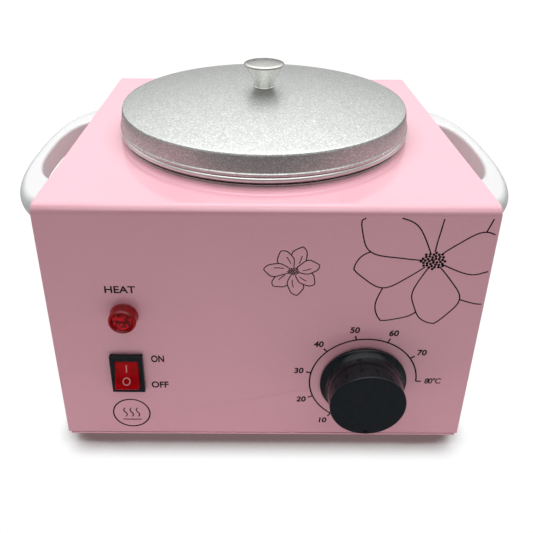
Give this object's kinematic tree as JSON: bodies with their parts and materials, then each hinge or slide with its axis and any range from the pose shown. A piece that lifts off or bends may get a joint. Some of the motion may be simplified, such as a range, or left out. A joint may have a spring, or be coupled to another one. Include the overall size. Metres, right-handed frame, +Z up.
{
  "type": "wax warmer pot",
  "caption": "Square sheet-metal wax warmer with a round lift-out pot and knobbed lid, a temperature dial, rocker switch, pilot lamp and side loop handles.",
  "frame": {"origin": "centre of the case's footprint, on the table plane under the feet", "axes": "+Z up, -Y out of the control panel, +X to the right seen from the front"},
  "size_m": [0.2466, 0.216, 0.1689],
  "materials": {
    "pink_enamel": "gloss",
    "spun_aluminium": "satin",
    "polished_metal": "polished",
    "well_steel": "satin",
    "zinc_steel": "bright",
    "mica_band": "matte",
    "ceramic_fibre": "matte",
    "ceramic": "matte",
    "phenolic": "satin",
    "copper": "satin",
    "brass": "bright",
    "black_plastic": "gloss",
    "white_plastic": "gloss",
    "red_rocker": "gloss",
    "red_lens": "gloss",
    "neon_glass": "gloss",
    "foot_rubber": "matte",
    "cord_rubber": "satin",
    "wire_brown": "satin",
    "wire_black": "satin",
    "wire_red": "satin",
    "wire_blue": "satin",
    "wire_green": "satin"
  },
  "bodies": {
    "case": {"outer_cover": "pink_enamel", "left_side_panel": "pink_enamel", "right_side_panel": "pink_enamel", "base_plate": "pink_enamel", "heating_well": "well_steel", "heater_band": "mica_band", "band_screw": "zinc_steel", "insulation_sleeve": "ceramic_fibre", "insulation_pad": "ceramic_fibre", "thermostat_body": "phenolic", "thermostat_screws": "zinc_steel", "capillary_tube": "copper", "sensing_bulb": "copper", "bulb_clip": "zinc_steel", "thermal_cutout": "phenolic", "switch_housing": "black_plastic", "switch_terminals": "brass", "lamp_lens": "red_lens", "neon_bulb": "neon_glass", "lamp_nut": "black_plastic", "left_handle": "white_plastic", "right_handle": "white_plastic", "handle_screws": "zinc_steel", "handle_washers": "zinc_steel", "rubber_feet": "foot_rubber", "foot_screws": "zinc_steel", "foot_nuts": "zinc_steel", "base_screws": "zinc_steel", "terminal_block": "ceramic", "earth_stud": "brass", "live_wire": "wire_brown", "switched_wire": "wire_black", "heater_wire": "wire_red", "neutral_wire": "wire_blue", "earth_wire": "wire_green", "lamp_leads": "wire_blue", "strain_relief": "black_plastic", "strain_relief_nut": "black_plastic", "power_cord": "cord_rubber", "cord_cores": "wire_brown", "cord_tie": "black_plastic", "plug": "cord_rubber", "plug_pins": "brass"},
    "pot": {"wax_pot": "spun_aluminium"},
    "lid": {"lid": "spun_aluminium", "lid_knob": "polished_metal", "lid_screw": "zinc_steel"},
    "knob": {"control_knob": "black_plastic", "thermostat_shaft": "zinc_steel"},
    "rocker": {"rocker": "red_rocker"}
  },
  "joints": [
    {"name": "pot_lift", "type": "slide", "parent": "case", "child": "pot", "axis": [0, 0, 1], "range_m": [0, 0.13]},
    {"name": "lid_lift", "type": "slide", "parent": "pot", "child": "lid", "axis": [0, 0, 1], "range_m": [0, 0.06]},
    {"name": "knob_turn", "type": "hinge", "parent": "case", "child": "knob", "pos_m": [0.046, -0.1, 0.0416], "axis": [0, 1, 0], "range_deg": [0, 270]},
    {"name": "rocker_tilt", "type": "hinge", "parent": "case", "child": "rocker", "pos_m": [-0.0626, -0.0925, 0.0465], "axis": [1, 0, 0], "range_deg": [0, 40]}
  ]
}
